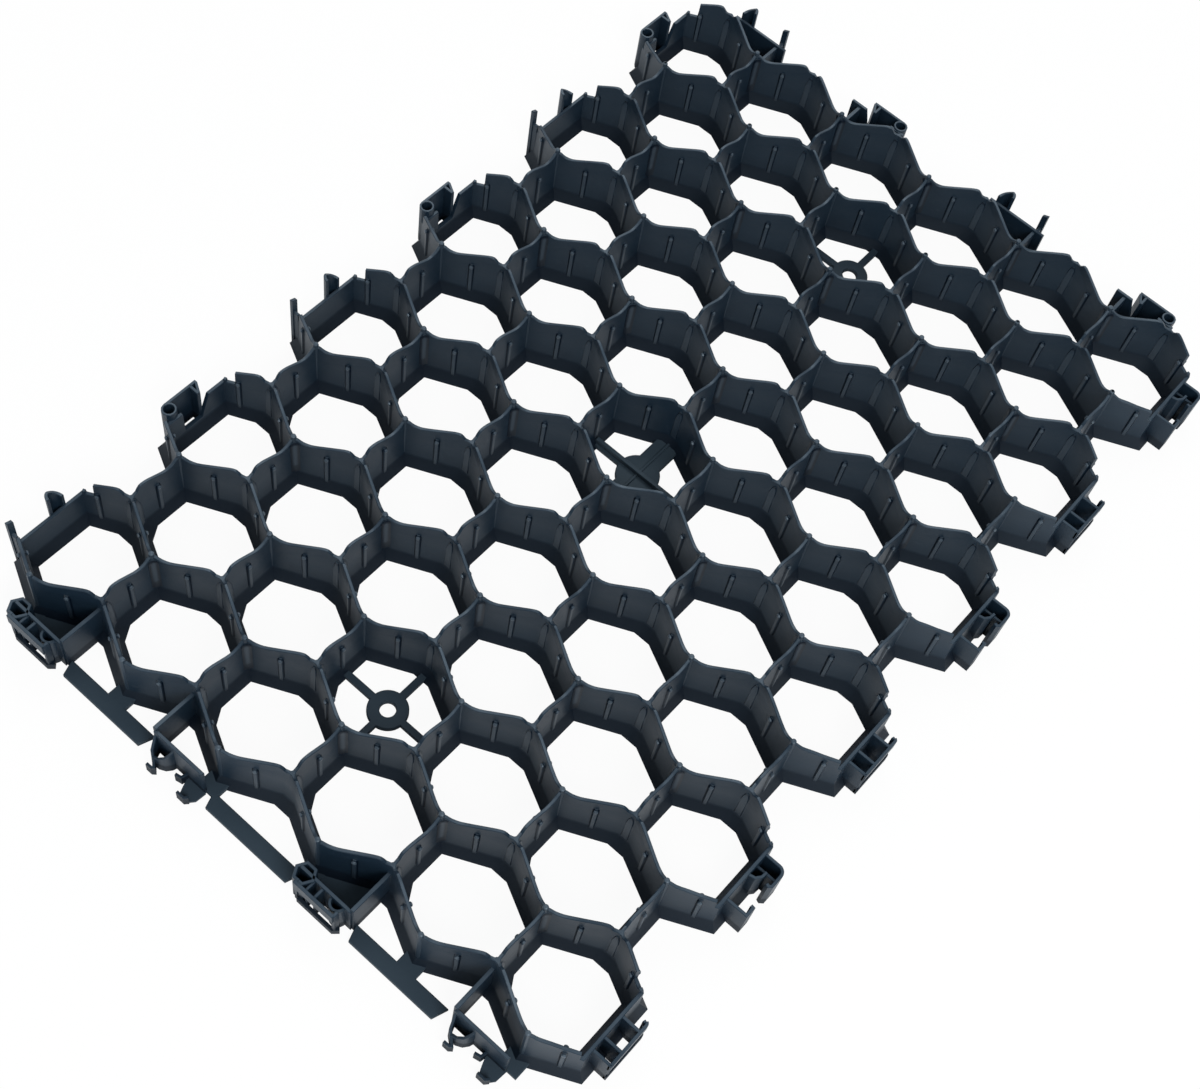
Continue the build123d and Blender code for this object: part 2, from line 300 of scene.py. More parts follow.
def side_wall_line(start, end, length):
    """A long edge's straight wall, level, or notched where a tube stands before it."""
    steps = [(0, side_wall_height), (length, side_wall_height)]
    middle = (start[0] + end[0]) / 2
    if start[1] > 0 and round(middle / row_pitch) in notched_rows:
        way = 1 if end[0] > start[0] else -1
        steps[1:1] = sorted(((middle + t * mm - start[0]) * way, z * mm) for t, z in notch)
    return steps


def rim_line(start, end):
    """Places along a wall with the rim's height at each, and whether start and end are dips."""
    kinds = (corner_kinds[corner_key(*start)], corner_kinds[corner_key(*end)])
    length = (Vector(end) - Vector(start)).length
    if kinds in (("dip", "knob"), ("side", "knob"), ("dip", "side")):
        steps, flags = rim_line(end, start)
        return [(length - s, z) for s, z in reversed(steps)], flags[::-1]
    if kinds == ("side", "side"):
        return side_wall_line(start, end, length), (False, False)
    knob_cut = kinds[0] == "side"
    dip_cut = kinds[1] == "side"
    full = full_slope if knob_cut or dip_cut else length
    wave = rim_height(full)
    shift = full - length if knob_cut else 0
    from_knob = [s * mm for s in (0, 1.3, 2.6, 4.0, 5.6, 7.6, 9.8, 12.4, 15.4)]
    from_dip = [s * mm for s in (12.5, 10.2, 8.0, 6.4, 5.0, 3.7, 2.5, 1.7, 0.9, 0)]
    marks = [s for s in from_knob if s >= shift] + [full - s for s in from_dip]
    if knob_cut:
        marks = [shift + d * mm for d, z in stepped_end[:6]] + [s for s in marks if s > shift + 8.4 * mm]
    if dip_cut:
        marks = [s for s in marks if s < length - 11.5 * mm] + [length - d * mm for d, z in level_end[3::-1]]
    steps = []
    for s in marks:
        z = wave(s)
        if knob_cut:
            z = min(z, straight_through(stepped_end, (s - shift) / mm) * mm)
        if dip_cut:
            z = min(z, straight_through(level_end, (length - s) / mm) * mm)
        steps.append((s - shift, z))
    return steps, (False, not dip_cut)


def lay_side(shape, before, start, end, after):
    """One face of a wall, with half of the facet at each end that has one; the free space is on its left."""
    steps, dips = rim_line(start, end)
    p0, p1 = Vector(start), Vector(end)
    way = (p1 - p0).normalized()
    left = Vector((-way.y, way.x))

    def half_angle(outgoing, incoming):
        return ((math.atan2(incoming.y, incoming.x) - math.atan2(outgoing.y, outgoing.x)) % math.tau) / 2

    angles = (half_angle(way, Vector(before) - p0), half_angle(Vector(after) - p1, -way))
    length = (p1 - p0).length
    facets = [dip and angle < math.pi / 2 for dip, angle in zip(dips, angles)]

    def place(column, n, z):
        """A point of a column, n out from the wall's middle; at a facet it slides along that to the wall."""
        where, k, s = column
        if where == "middle":
            return p0 + way * s + left * n
        base, sign = (p0, 1) if where == "start" else (p1, -1)
        at_end = where == "end"
        angle = angles[at_end]
        if facets[at_end] and n > 0:
            narrowing = min(max((z - facet_start) / (facet_end - facet_start), 0), 1)
            widening = max(1 - z / crease, 0)
            half_width = half_facet + (rim_facet - half_facet) * narrowing
            half_width += (foot_facet - half_facet) * widening
            depth = half_wall / math.sin(angle) + half_width / math.tan(angle) + n - half_wall
            mid = depth * math.cos(angle)
            foot = (depth - n * math.sin(angle)) / math.cos(angle)
            along = mid + (foot - mid) * k
            out = (depth - along * math.cos(angle)) / math.sin(angle)
        elif k == 0:
            along, out = n / math.tan(angle), n
        else:
            along, out = k * rim_reach, n
        return base + way * sign * along + left * out

    columns = []
    for s, z in steps:
        from_end = length - s
        if s < rim_reach + hair and (dips[0] or s < hair):
            columns.append((("start", s / rim_reach, s), z))
        elif from_end < rim_reach + hair and (dips[1] or from_end < hair):
            columns.append((("end", from_end / rim_reach, s), z))
        else:
            columns.append((("middle", 0, s), z))
    few = []
    for i, ((where, k, s), z) in enumerate(columns):
        if where != "middle" and (k < 0.001 or k > 0.999):
            few.append(i)

    def point(i, n, z):
        x, y = place(columns[i][0], n, z)
        return shape.verts.new((x, y, z))

    def wall_half(z):
        return half_wall - draft * (z - crease)

    low = [[point(i, n, z) for i in few] for n, z in foot_rows]
    mids = [point(i, wall_half(facet_start), facet_start) for i in few]
    if any(facets):
        low.append(mids)
    high = []
    for inset, dz in rim_rows:
        levels = [z + dz for column, z in columns]
        high.append([point(i, max(wall_half(z) - inset, 0), z) for i, z in enumerate(levels)])
    for rows in (low, high):
        for under, over in zip(rows, rows[1:]):
            for j in range(len(under) - 1):
                shape.faces.new((under[j + 1], under[j], over[j], over[j + 1]))
    for j in range(len(few) - 1):
        under = [low[-1][j + 1], low[-1][j]]
        if low[-1] is not mids:
            under = [mids[j + 1], *under, mids[j]]
        shape.faces.new(under + high[0][few[j]:few[j + 1] + 1])


def lay_ring(shape, corners):
    """The wall faces round one free space, which lies on the left of its corners taken in turn."""
    count = len(corners)
    for i in range(count):
        lay_side(shape, corners[i - 1], corners[i], corners[(i + 1) % count], corners[(i + 2) % count])


def cell_ring(x, y):
    """The corners of the cell at x, y, cut short where the panel's straight side wall closes it."""
    ring = []
    for turn, lift in hexagon:
        cx, cy = x + turn * cell_half_length, y + lift * cell_rise
        if abs(cy) > side_wall_y + hair:
            cx = x + math.copysign(side_wall_half, turn)
            cy = math.copysign(side_wall_y, cy)
        ring.append((cx, cy))
    return ring


def outer_ring():
    """The middle line of the outermost walls, clockwise, so that the outside is on its left."""
    north = []
    for row in range(-last_row, last_row + 1):
        x = row * row_pitch
        if row % 2:
            north += [(x - side_wall_half, side_wall_y), (x + side_wall_half, side_wall_y)]
        else:
            y = row_cells(row)[-1] + cell_rise
            north += [(x - cell_run, y), (x + cell_run, y)]
    east = []
    for y in reversed(row_cells(last_row)):
        east += [(corner_x, y), (valley_x, y - cell_rise)]
    east.pop()
    south = [(x, -y) for x, y in reversed(north)]
    west = [(-x, -y) for x, y in east]
    return north + east + south + west


def as_piece(name, shape, material=panel_plastic, smooth=30):
    """A finished piece of the panel from a bmesh: closed, facing outward, on the root body."""
    bmesh.ops.remove_doubles(shape, verts=shape.verts, dist=0.02 * mm)
    bmesh.ops.recalc_face_normals(shape, faces=shape.faces)
    mesh = bpy.data.meshes.new(name)
    shape.to_mesh(mesh)
    shape.free()
    mesh.materials.clear()
    mesh.materials.append(material)
    piece = bpy.data.objects.new(name, mesh)
    bpy.context.collection.objects.link(piece)
    mesh.shade_smooth()
    mesh.set_sharp_from_angle(angle=math.radians(smooth))
    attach(piece, "root")
    return piece


def new_tree(name, inputs):
    """An empty tree with named inputs; gives the tree, its nodes and the inputs by name."""
    tree = bpy.data.node_groups.new(name, "GeometryNodeTree")
    tree.interface.new_socket("Geometry", in_out="INPUT", socket_type="NodeSocketGeometry")
    tree.interface.new_socket("Geometry", in_out="OUTPUT", socket_type="NodeSocketGeometry")
    for label, kind in inputs:
        tree.interface.new_socket(label, in_out="INPUT", socket_type="NodeSocket" + kind)
    nodes = Nodes(tree)
    entry = nodes.add("NodeGroupInput")
    return tree, nodes, {socket.name: Figure(nodes, socket) for socket in entry.outputs if socket.name}


def end_tree(nodes, parts, material):
    """Joins the parts of a tree, makes their copies real and gives them the plastic."""
    joined = nodes.add("GeometryNodeJoinGeometry")
    for part in parts:
        nodes.feed(joined.inputs[0], part)
    real = nodes.add("GeometryNodeRealizeInstances", None, {0: joined.outputs[0]})
    dressed = nodes.add("GeometryNodeSetMaterial", None, {"Geometry": real.outputs[0], "Material": material})
    nodes.add("NodeGroupOutput", None, {0: dressed.outputs[0]})


def grown(name, seeds, tree, sizes):
    """Runs a tree on a mesh with these sizes and gives what it makes as one plain bmesh."""
    host = bpy.data.objects.new(name, seeds)
    bpy.context.collection.objects.link(host)
    maker = host.modifiers.new(name, "NODES")
    maker.node_group = tree
    for item in tree.interface.items_tree:
        if item.in_out == "INPUT" and item.name in sizes:
            maker[item.identifier] = sizes[item.name]
    shapes = [value for value in sizes.values() if isinstance(value, bpy.types.Object)]
    for shape in shapes:
        bpy.context.collection.objects.link(shape)
    ready = host.evaluated_get(bpy.context.evaluated_depsgraph_get())
    plain = bpy.data.meshes.new_from_object(ready)
    for shape in [host, *shapes]:
        bpy.data.objects.remove(shape)
    shape = bmesh.new()
    shape.from_mesh(plain)
    return shape


def as_mesh(name, shape):
    """Turns a bmesh into a mesh and frees it."""
    mesh = bpy.data.meshes.new(name)
    shape.to_mesh(mesh)
    shape.free()
    return mesh


def one_copy(nodes, item):
    """The shape of an object input, as a single instance."""
    return nodes.add("GeometryNodeObjectInfo", {"transform_space": "ORIGINAL"}, {
        "Object": item,
        "As Instance": True,
    }).outputs["Geometry"]


def cell_tile(name, row, y):
    """The faces round the cell at that row and y, moved to the origin, as the shape for a tree to repeat."""
    shape = bmesh.new()
    lay_ring(shape, cell_ring(row * row_pitch, y))
    bmesh.ops.translate(shape, verts=shape.verts, vec=(-row * row_pitch, -y, 0))
    return bpy.data.objects.new(name, as_mesh(name, shape))


outer_skin = bmesh.new()
lay_ring(outer_skin, outer_ring())
edge_y = row_cells(last_row)[-1]

lattice, nodes, given = new_tree("cell_lattice", [
    ("Rows", "Int"), ("Long row", "Int"), ("Row pitch", "Float"), ("Cell width", "Float"),
    ("Cell", "Object"), ("Side cell", "Object"), ("Notched cell", "Object"), ("Plastic", "Material"),
])
number = nodes.figure("GeometryNodeInputIndex")
long_row = given["Long row"]
line = nodes.add("GeometryNodeMeshLine", None, {"Count": given["Rows"] * long_row})
row = (number / long_row).floor() - (given["Rows"] - 1) / 2
column = number % long_row
odd = row % 2
x = row * given["Row pitch"]
y = (column - (long_row - 1) / 2 + (1 - odd) / 2) * given["Cell width"]
spot = nodes.add("ShaderNodeCombineXYZ", None, {0: x, 1: y})
spread = nodes.add("GeometryNodeSetPosition", None, {
    "Geometry": line.outputs[0],
    "Position": spot.outputs[0],
})
in_last_column = column > long_row - 1.5
beyond = (1 - odd) * in_last_column
last = odd * in_last_column
first = odd * (column < 0.5)
notched = row % 4 < 1.5  # rows -3, 1 and 5, where the side wall is notched
parts = [given["Geometry"]]
for tile, chosen, flip in (
    ("Cell", (1 - beyond) * (1 - last) * (1 - first), 1),
    ("Side cell", last * (1 - notched), 1),
    ("Notched cell", last * notched, 1),
    ("Side cell", first, -1),
):
    copies = nodes.add("GeometryNodeInstanceOnPoints", None, {
        "Points": spread.outputs[0],
        "Selection": chosen,
        "Instance": one_copy(nodes, given[tile]),
        "Scale": (1, flip, 1),
    })
    parts.append(copies.outputs[0])
end_tree(nodes, parts, given["Plastic"])

walls = grown("honeycomb", as_mesh("outer_skin", outer_skin), lattice, {
    "Rows": 2 * last_row + 1, "Long row": long_row_cells, "Row pitch": row_pitch, "Cell width": cell_width,
    "Cell": cell_tile("cell", 0, 0), "Side cell": cell_tile("side_cell", -1, edge_y),
    "Notched cell": cell_tile("notched_cell", 1, edge_y), "Plastic": panel_plastic,
})
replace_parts(as_piece("honeycomb", walls), "gravel_grid")


# Ribs, facet panels and corner posts.
# A slim rib with a round head stands on both faces of each wavy wall, and a raised panel on each facet. A
# post with hollow flanks fills each knob corner and ends above the rim as the knob. All are of the same shot.

# The ribs, facet panels and posts share a copy of the plastic with painted light: shade where they meet the
# wall, highlight on crests.
rib_plastic = moulded_plastic("rib_plastic", wall_blue, foot_shade_black, rim_highlight_grey, 0.38, painted_crest_light=True)


def places_mesh(name, places):
    """Places for a tree, each with x, y, its turn about the vertical and its flip, 1 or -1."""
    seeds = bpy.data.meshes.new(name)
    seeds.from_pydata([(x, y, 0) for x, y, turn, flip in places], [], [])
    for label, column in (("turn", 2), ("flip", 3)):
        marks = seeds.attributes.new(label, "FLOAT", "POINT")
        marks.data.foreach_set("value", [float(place[column]) for place in places])
    return seeds


def copies_at_places(nodes, given, shape):
    """Copies of a shape on the places, each turned and flipped as its place says."""
    turn = nodes.add("GeometryNodeInputNamedAttribute", {"data_type": "FLOAT"}, {"Name": "turn"})
    flip = nodes.add("GeometryNodeInputNamedAttribute", {"data_type": "FLOAT"}, {"Name": "flip"})
    angle = nodes.add("ShaderNodeCombineXYZ", None, {2: turn.outputs[0]})
    scale = nodes.add("ShaderNodeCombineXYZ", None, {0: 1.0, 1: flip.outputs[0], 2: 1.0})
    return nodes.figure("GeometryNodeInstanceOnPoints", None, {
        "Points": given["Geometry"],
        "Instance": shape,
        "Rotation": angle.outputs[0],
        "Scale": scale.outputs[0],
    })


places_tree, nodes, given = new_tree("copies_on_places", [("Shape", "Object"), ("Plastic", "Material")])
end_tree(nodes, [copies_at_places(nodes, given, one_copy(nodes, given["Shape"]))], given["Plastic"])


def prism(shape, levels, marks):
    """A closed form through outlines of equally many points, lowest first; marks give each point's painted
    crest light.
    """
    crest = shape.verts.layers.float.get("crest") or shape.verts.layers.float.new("crest")
    rings = []
    for i, (outline, z) in enumerate(levels):
        ring = [shape.verts.new((x * mm, y * mm, z * mm)) for x, y in outline]
        for j, corner in enumerate(ring):
            corner[crest] = marks[i][j]
        rings.append(ring)
    count = len(rings[0])
    for under, over in zip(rings, rings[1:]):
        for i in range(count):
            j = (i + 1) % count
            shape.faces.new((under[i], under[j], over[j], over[i]))
    shape.faces.new(rings[0][::-1])
    shape.faces.new(rings[-1])


def rib_object():
    """A rib with sloping flanks that dies into the wall at its top, and the round head on it."""
    shape = bmesh.new()
    section = [(2.1, -0.3), (0.9, 1.25), (-0.9, 1.25), (-2.1, -0.3)]
    head_middle, head_sides = 28.4, 7
    levels = []
    for z, wide, deep in ((4.4, 1, 1), (27.8, 1, 1), (29.2, 0.95, 0.85), (30.2, 0.7, 0.3)):
        levels.append(([(x * wide, y * deep if y > 0 else y) for x, y in section], z))
    # Painted light: shade at the rib's feet on the wall, highlight along its face, weaker at its top.
    prism(shape, levels, [(0, 1, 1, 0)] * 3 + [(0, 0.6, 0.6, 0)])
    crest = shape.verts.layers.float.get("crest")
    rings = []
    for reach, out in ((1.45, 0.9), (1.3, 1.6), (0.7, 2.0)):
        ring = []
        for i in range(head_sides):
            a = math.tau * i / head_sides
            x, z = reach * math.cos(a), head_middle + reach * math.sin(a)
            corner = shape.verts.new((x * mm, out * mm, z * mm))
            # The round head takes the brightest painted highlight.
            corner[crest] = 1.0 if out < 1 else 1.45
            ring.append(corner)
        rings.append(ring)
    for under, over in zip(rings, rings[1:]):
        for i in range(head_sides):
            j = (i + 1) % head_sides
            shape.faces.new((under[i], over[i], over[j], under[j]))
    shape.faces.new(rings[-1])
    return bpy.data.objects.new("rib", as_mesh("rib", shape))


rib_places = []
seen_walls = set()
for row in range(-last_row, last_row + 1):
    for y in row_cells(row):
        ring = cell_ring(row * row_pitch, y)
        for i in range(6):
            (x0, y0), (x1, y1) = ring[i], ring[(i + 1) % 6]
            kinds = (corner_kinds[corner_key(x0, y0)], corner_kinds[corner_key(x1, y1)])
            if kinds == ("side", "side"):
                continue
            middle = corner_key((x0 + x1) / 2, (y0 + y1) / 2)
            if middle in seen_walls:
                continue
            seen_walls.add(middle)
            turn = math.atan2(y1 - y0, x1 - x0)
            length = math.hypot(x1 - x0, y1 - y0)
            along = length / 2
            if "side" in kinds:
                along = full_slope / 2 if kinds[1] == "side" else length - full_slope / 2
            for side in (-1, 1):
                out = side * (half_wall - 0.2 * mm)
                x = x0 + math.cos(turn) * along - math.sin(turn) * out
                y_rib = y0 + math.sin(turn) * along + math.cos(turn) * out
                rib_places.append((x, y_rib, turn, side))
ribs = grown("wall_ribs", places_mesh("rib_places", rib_places), places_tree, {
    "Shape": rib_object(), "Plastic": rib_plastic,
})
as_piece("wall_ribs", ribs, rib_plastic, smooth=38)


def facet_object(name, half_angle):
    """The raised panel on a facet, seen from the corner's middle along x; it narrows where the facet does."""
    shape = bmesh.new()
    levels = []
    slant = 0.7
    for z, wide in ((8.4, 2.6), (27, 2.5), (30.5, 2.0), (33, 1.3)):
        narrowing = max((z * mm - facet_start) / (facet_end - facet_start), 0)
        half_width = (half_facet + (rim_facet - half_facet) * narrowing) / mm
        depth = (half_wall / mm) / math.sin(half_angle) + half_width / math.tan(half_angle)
        depth -= draft * (z - crease / mm)
        back, front = depth - 0.3, depth + 0.45
        levels.append(([(back, -wide), (front, slant - wide), (front, wide - slant), (back, wide)], z))
    # Painted light: shade along the panel's edges on the facet, highlight down its face.
    prism(shape, levels, [(0, 0.9, 0.9, 0), (0, 1, 1, 0), (0, 1.05, 1.05, 0), (0, 0.5, 0.5, 0)])
    return bpy.data.objects.new(name, as_mesh(name, shape))


wide_places, narrow_places = [], []
for row in range(-last_row, last_row + 1):
    for y in row_cells(row):
        x = row * row_pitch
        for i, (turn, lift) in enumerate(((1, 0), (-0.5, 1), (-0.5, -1))):
            dx, dy = turn * cell_half_length, lift * cell_rise
            if abs(y + dy) < side_wall_y:
                (wide_places if i == 0 else narrow_places).append((x + dx, y + dy, math.atan2(-dy, -dx), 1))
wall_angle = math.atan2(cell_rise, cell_run)
for name, half_angle, spots in (
    ("end_facet_panels", wall_angle, wide_places),
    ("side_facet_panels", (math.pi - wall_angle) / 2, narrow_places),
):
    shape = grown(name, places_mesh(name + "_places", spots), places_tree, {
        "Shape": facet_object(name, half_angle), "Plastic": rib_plastic,
    })
    as_piece(name, shape, rib_plastic)


def raise_knob(shape, foot):
    """A round knob from that height up, with a softened top."""
    levels, marks = [], []
    for z, radius in ((foot, 1.75), (39.7, 1.75), (40.9, 1.5), (41.4, 0.8)):
        angles = [math.tau * i / 9 for i in range(9)]
        levels.append(([(radius * math.cos(a), radius * math.sin(a)) for a in angles], z))
        # Painted light: highlight on the knob's sides, brighter on its softened top.
        marks.append([0.9 if z < 40 else 1.15] * 9)
    prism(shape, levels, marks)


def post_object(hollow=5.0, steps=4):
    """A corner post: its flanks are hollow arcs from wall to wall, and the knob ends it."""
    shape = bmesh.new()
    arms = [wall_angle, math.pi, math.tau - wall_angle, math.tau + wall_angle]
    outline, flank_light = [], []
    for first, second in zip(arms, arms[1:]):
        middle, spread = (first + second) / 2, (second - first) / 2
        centre = (half_wall / mm + hollow) / math.sin(spread)
        wide = math.pi / 2 - spread
        for i in range(steps + 1):
            turn = middle + math.pi + wide - 2 * wide * i / steps
            x = centre * math.cos(middle) + hollow * math.cos(turn)
            y = centre * math.sin(middle) + hollow * math.sin(turn)
            outline.append((x, y))
            flank_light.append(math.sin(math.pi * i / steps))
    sunk = [(x * 0.8, y * 0.8) for x, y in outline]
    levels = [(outline, 3), (outline, 11), (outline, 14.5), (outline, 33.5), (outline, 35), (sunk, 36.3)]
    # Painted light: highlight down the middle of each hollow arc, fading to painted shade at the walls and
    # towards the foot.
    light_by_level = [0, 0.35, 1.02, 1.02, 0.6, 0.3]
    prism(shape, levels, [[value * part for value in flank_light] for part in light_by_level])
    raise_knob(shape, 35)
    return bpy.data.objects.new("post", as_mesh("post", shape))


def knob_object():
    """The knob alone, for the corners of the outermost walls."""
    shape = bmesh.new()
    raise_knob(shape, 2)
    return bpy.data.objects.new("knob", as_mesh("knob", shape))


knobs = sorted(key for key, kind in corner_kinds.items() if kind == "knob" and abs(key[1]) * mm < side_wall_y)
inner_knobs, outer_knobs = [], []
for x, y in knobs:
    near = [(-cell_half_length, 0), (cell_run, cell_rise), (cell_run, -cell_rise)]
    walled = all(corner_kinds.get(corner_key(x * mm + dx, y * mm + dy)) == "dip" for dx, dy in near)
    (inner_knobs if walled else outer_knobs).append((x * mm, y * mm, 0, 1))
for name, post, spots in (
    ("corner_posts", post_object(), inner_knobs),
    ("edge_knobs", knob_object(), outer_knobs),
):
    shape = grown(name, places_mesh(name + "_places", spots), places_tree, {
        "Shape": post, "Plastic": rib_plastic,
    })
    as_piece(name, shape, rib_plastic, smooth=38)


# The hubs.
# Three cells carry a flat disc on the ground, held by four arms and moulded with the cell's foot. The two
# outer discs have a hole for a ground peg, and the middle one is closed and stiffened by raised ribs.

def slat(shape, path, thick, top, bottom=0.0, closed=False, edge=0.3 * mm):
    """A wall or bar with softened upper edges that follows a path of x, y and sometimes its own top."""
    marks = [(Vector(p[:2]), p[2] if len(p) > 2 else top) for p in path]
    count = len(marks)
    rows = []
    for half, drop, level in (
        (thick / 2, None, bottom), (thick / 2, edge, None), (thick / 2 - edge * 0.8, 0.0, None),
    ):
        left, right = [], []
        for i, (spot, crest) in enumerate(marks):
            back = (spot - marks[i - 1][0]).normalized() if i or closed else None
            ahead = (marks[(i + 1) % count][0] - spot).normalized() if i < count - 1 or closed else None
            one = back or ahead
            two = ahead or back
            out = Vector((-one.y - two.y, one.x + two.x)).normalized()
            reach = half / max(out.dot(Vector((-one.y, one.x))), 0.3)
            shrink = 0
            if not closed and half < thick / 2:
                shrink = edge * 0.8 if i == 0 else -edge * 0.8 if i == count - 1 else 0
            z = level if drop is None else crest - drop
            middle = spot + one * shrink
            left.append(shape.verts.new((*(middle + out * reach), z)))
            right.append(shape.verts.new((*(middle - out * reach), z)))
        rows.append((left, right))
    spans = range(count if closed else count - 1)
    for under, over in zip(rows, rows[1:]):
        for i in spans:
            j = (i + 1) % count
            shape.faces.new((under[0][j], under[0][i], over[0][i], over[0][j]))
            shape.faces.new((under[1][i], under[1][j], over[1][j], over[1][i]))
        if not closed:
            shape.faces.new((under[0][0], under[1][0], over[1][0], over[0][0]))
            shape.faces.new((under[1][-1], under[0][-1], over[0][-1], over[1][-1]))
    for i in spans:
        j = (i + 1) % count
        shape.faces.new((rows[-1][0][j], rows[-1][0][i], rows[-1][1][i], rows[-1][1][j]))
        shape.faces.new((rows[0][0][i], rows[0][0][j], rows[0][1][j], rows[0][1][i]))


def disc(shape, x, y, radius, hole, thick, edge=0.5 * mm, steps=40):
    """A flat disc with softened edges, closed or with a round hole."""
    profile = [(radius, 0), (radius, thick - edge), (radius - edge, thick)]
    if hole:
        profile += [(hole + edge, thick), (hole, thick - edge), (hole, 0)]
    else:
        profile += [(0, thick), (0, 0)]
    rings = []
    for reach, z in profile:
        if reach:
            angles = [math.tau * i / steps for i in range(steps)]
            spots = [(x + reach * math.cos(a), y + reach * math.sin(a), z) for a in angles]
            rings.append([shape.verts.new(spot) for spot in spots])
        else:
            rings.append([shape.verts.new((x, y, z))] * steps)
    for under, over in zip(rings, rings[1:] + rings[:1]):
        for i in range(steps):
            j = (i + 1) % steps
            corners = []
            for corner in (under[i], under[j], over[j], over[i]):
                if corner not in corners:
                    corners.append(corner)
            if len(corners) > 2:
                shape.faces.new(corners)


# Flat pieces on the ground: the same plastic with a lighter colour in place of the foot's painted shade, as
# painted light on their lit tops.
flat_lit_blue = (0.020, 0.034, 0.049)
flat_plastic = moulded_plastic("flat_plastic", wall_blue, flat_lit_blue, rim_highlight_grey, 0.46)
hub_thick = 3 * mm
hub_x = 4 * row_pitch
peg_hole = 4.5 * mm
arm_start, arm_width = 8 * mm, 4.2 * mm
arm_end_x, arm_end_y = 29 * mm, cell_rise - 4 * mm
hub_shape = bmesh.new()
for x in (-hub_x, hub_x):
    disc(hub_shape, x, 0, 11.5 * mm, peg_hole, hub_thick)
    for end in (-1, 1):
        for tip in ((x + end * arm_end_x, 0), (x, end * arm_end_y)):
            root = (x + end * arm_start, 0) if tip[1] == 0 else (x, end * arm_start)
            slat(hub_shape, [root, tip], arm_width, hub_thick - 0.02 * mm)
as_piece("peg_hubs", hub_shape, flat_plastic)

# The middle disc is painted lighter still, as painted light on its lit top.
disc_lit_blue = (0.028, 0.045, 0.061)
disc_plastic = moulded_plastic("disc_plastic", wall_blue, disc_lit_blue, rim_highlight_grey, 0.46)
hub_shape = bmesh.new()
disc(hub_shape, 0, 0, 13.2 * mm, 0, hub_thick)
for tip, width, top in (
    ((arm_end_x, 0), 15, 2.97),
    ((0, arm_end_y), 5.6, 2.94),
    ((0, arm_end_y + mm), 2.6, 6.4),
    ((arm_end_x + mm, 0), 1.6, 3.9),
):
    slat(hub_shape, [(-tip[0], -tip[1]), tip], width * mm, top * mm)
as_piece("middle_hub", hub_shape, disc_plastic)


# The plates along the short edges.
# Webs run out from the valleys between the last cells to upright plates, which carry the clips. On one short
# edge a flat strip lies on the ground under them and breaks off beside each clip.

clip_spacing = 1.5 * cell_width
clip_places = [(1.5 - i) * clip_spacing for i in range(4)]
east_plate_x = 300.5 * mm
west_plate_x = -304.8 * mm
web_thick, web_top = 2.4 * mm, 28.5 * mm
plate_thick, east_plate_top, west_plate_top = 2 * mm, 30 * mm, 26 * mm
blade_shift = 3 * mm


def clip_ends(place):
    """The y of the web and of the cell tip between which a clip's plate stands."""
    web = min((y for y in row_cells(last_row - 1) if y), key=lambda y: abs(y - place))
    tip = min(row_cells(last_row), key=lambda y: abs(y - place))
    return web, tip


plates_shape = bmesh.new()
for i, place in enumerate(clip_places):
    web, tip = clip_ends(place)
    past = math.copysign(1, web - tip)
    slat(plates_shape, [(valley_x - mm, web), (east_plate_x, web)], web_thick, web_top)
    start = web + past * 6.5 * mm
    path = [(east_plate_x, start), (east_plate_x, tip)]
    if i % 2:
        here = place + blade_shift
        dip = [(here + t * mm, z * mm) for t, z in ((9.8, 30), (3.4, 9), (-9.4, 9), (-9.8, 30))]
        tops = [(start, east_plate_top), *dip, (tip, east_plate_top)]
        path = [(east_plate_x, y, z) for y, z in tops]
    slat(plates_shape, path, plate_thick, east_plate_top)
    slat(plates_shape, [(-valley_x + mm, web), (west_plate_x, web)], web_thick, web_top)
    slat(plates_shape, [(west_plate_x, web), (west_plate_x, tip)], plate_thick, west_plate_top)
as_piece("clip_plates", plates_shape)


def flat_plate(shape, corners, thick, edge=0.4 * mm):
    """A flat plate on the ground with a softened upper edge, its corners in turn as seen from above."""
    count = len(corners)
    spots = [Vector(corner) for corner in corners]
    inner = []
    for i, spot in enumerate(spots):
        ahead = (spots[(i + 1) % count] - spot).normalized()
        back = (spot - spots[i - 1]).normalized()
        inward = Vector((-ahead.y - back.y, ahead.x + back.x)).normalized()
        inner.append(spot + inward * edge / max(inward.dot(Vector((-ahead.y, ahead.x))), 0.3))
    rings = []
    for outline, z in ((spots, 0), (spots, thick - edge), (inner, thick)):
        rings.append([shape.verts.new((*spot, z)) for spot in outline])
    for under, over in zip(rings, rings[1:]):
        for i in range(count):
            shape.faces.new((under[i], under[(i + 1) % count], over[(i + 1) % count], over[i]))
    shape.faces.new(rings[0][::-1])
    shape.faces.new(rings[-1])


